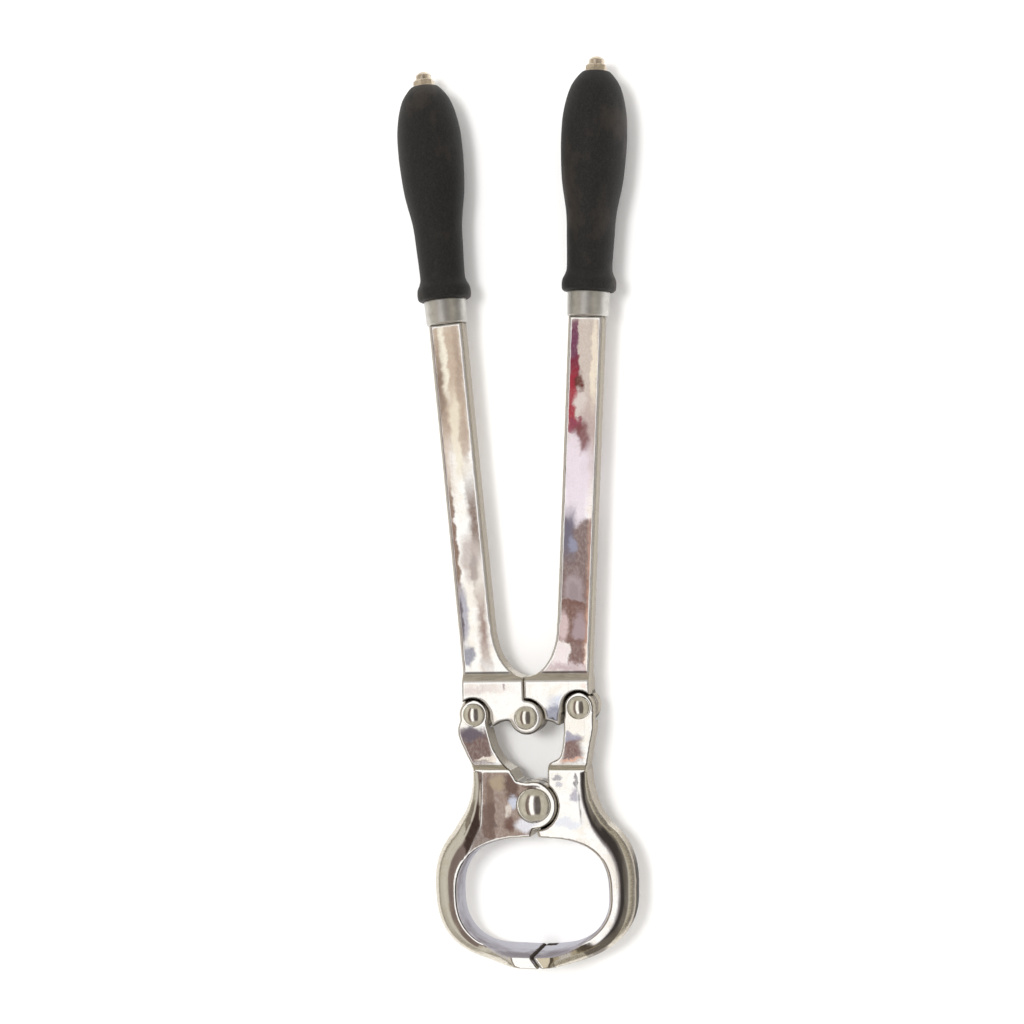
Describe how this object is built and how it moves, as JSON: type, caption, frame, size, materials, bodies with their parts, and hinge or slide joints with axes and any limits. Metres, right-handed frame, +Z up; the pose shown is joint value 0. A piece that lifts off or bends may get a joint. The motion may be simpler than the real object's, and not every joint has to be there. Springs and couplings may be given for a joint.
{
  "type": "livestock castrator",
  "caption": "Compound lever pincers with turned grips; a toggle of pins closes two half ring jaws with broad blunt tips.",
  "frame": {"origin": "middle of the footprint, on the surface that the tool lies on", "axes": "+Y from the jaws to the grips, +X to the right and +Z up, out of the side with the pin heads"},
  "size_m": [0.1256, 0.479, 0.035],
  "materials": {
    "forging": "polished nickel plate",
    "pin": "polished nickel plate",
    "grip": "ebonised, matt",
    "ferrule": "satin",
    "cap_nut": "dull plated",
    "hardware": "bright zinc"
  },
  "bodies": {
    "left_jaw": {"left_jaw": "forging", "left_link_pin": "pin", "left_link_washer": "hardware", "left_link_nut": "hardware", "jaw_pin": "pin", "jaw_pin_washer": "hardware", "jaw_pin_nut": "hardware"},
    "left_handle": {"left_handle": "forging", "left_grip": "grip", "left_ferrule": "ferrule", "left_grip_washer": "cap_nut", "left_cap_nut": "cap_nut", "centre_pin": "pin", "centre_washer": "hardware", "centre_nut": "hardware"},
    "right_handle": {"right_handle": "forging", "right_grip": "grip", "right_ferrule": "ferrule", "right_grip_washer": "cap_nut", "right_cap_nut": "cap_nut"},
    "right_jaw": {"right_jaw": "forging", "right_link_pin": "pin", "right_link_washer": "hardware", "right_link_nut": "hardware"}
  },
  "joints": [
    {"name": "handle_spread", "type": "hinge", "parent": "left_handle", "child": "right_handle", "pos_m": [0, -0.10845, 0.0175], "axis": [0, 0, -1], "range_deg": [0, 110]},
    {"name": "left_link_turn", "type": "hinge", "parent": "left_jaw", "child": "left_handle", "pos_m": [-0.02905, -0.10702, 0.0175], "axis": [0, 0, 1], "range_deg": [0, 65.78]},
    {"name": "right_link_turn", "type": "hinge", "parent": "right_handle", "child": "right_jaw", "pos_m": [0.02863, -0.10329, 0.0175], "axis": [0, 0, 1], "range_deg": [0, 65.78]}
  ],
  "couplings": [
    {"joint": "left_link_turn", "follows": "handle_spread", "ratio": 0.59622},
    {"joint": "right_link_turn", "follows": "handle_spread", "ratio": 0.59622}
  ]
}
